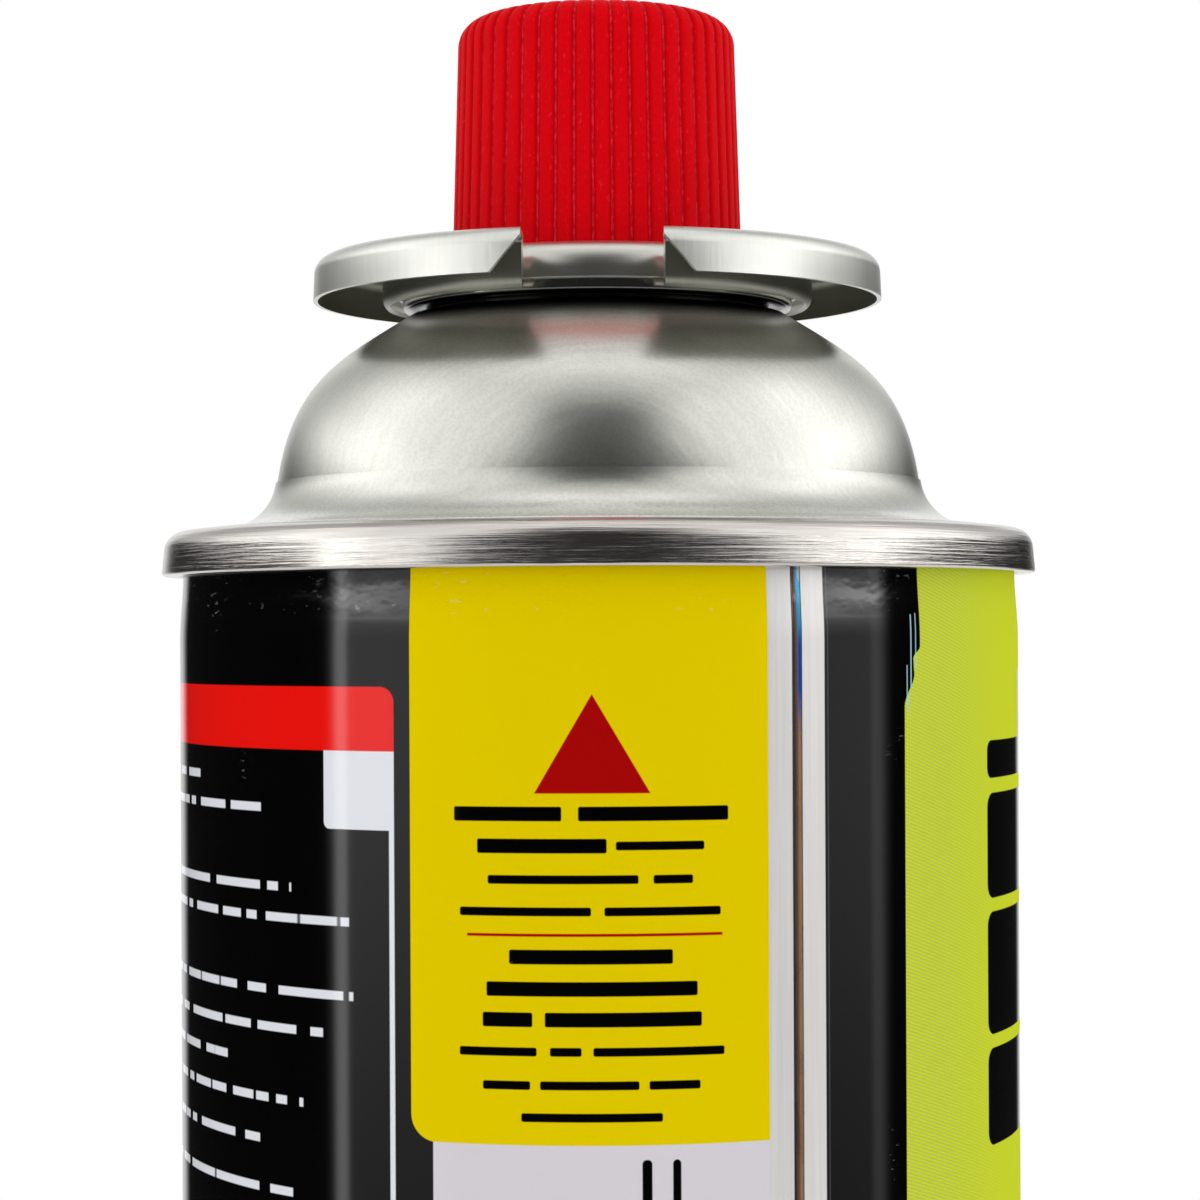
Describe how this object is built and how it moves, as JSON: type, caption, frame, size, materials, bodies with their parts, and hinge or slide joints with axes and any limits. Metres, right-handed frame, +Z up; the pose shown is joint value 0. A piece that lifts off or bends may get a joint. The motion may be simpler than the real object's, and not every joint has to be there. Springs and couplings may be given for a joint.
{
  "type": "stove fuel canister",
  "caption": "Sealed steel gas canister with a domed top, a notched locating collar, a crimped valve cup with a spring stem, and a ribbed pull-off cap.",
  "frame": {"origin": "centre of the foot ring, on the surface that the canister stands on", "axes": "+Z up along the canister's axis, -Y towards the front, where the collar has its notch"},
  "size_m": [0.0684, 0.0684, 0.185],
  "materials": {
    "printed_tinplate": "gloss lithographed print over tinplate, bare tinplate on the dome and seams",
    "plated_steel": "smooth satin plate",
    "bare_tinplate": "satin tinplate with fine grain",
    "gasket_rubber": "matte",
    "stem_plastic": "smooth matte",
    "cap_plastic": "satin moulded plastic with a fine mould grain"
  },
  "bodies": {
    "canister": {"can": "printed_tinplate", "collar": "plated_steel", "valve_cup": "bare_tinplate", "stem_gasket": "gasket_rubber"},
    "stem": {"valve_stem": "stem_plastic"},
    "cap": {"cap": "cap_plastic"}
  },
  "joints": [
    {"name": "cap_pull", "type": "slide", "parent": "canister", "child": "cap", "axis": [0, 0, 1], "range_m": [0, 0.03]},
    {"name": "stem_press", "type": "slide", "parent": "canister", "child": "stem", "axis": [0, 0, -1], "range_m": [0, 0.002], "stiffness_N_per_m": 3000}
  ]
}
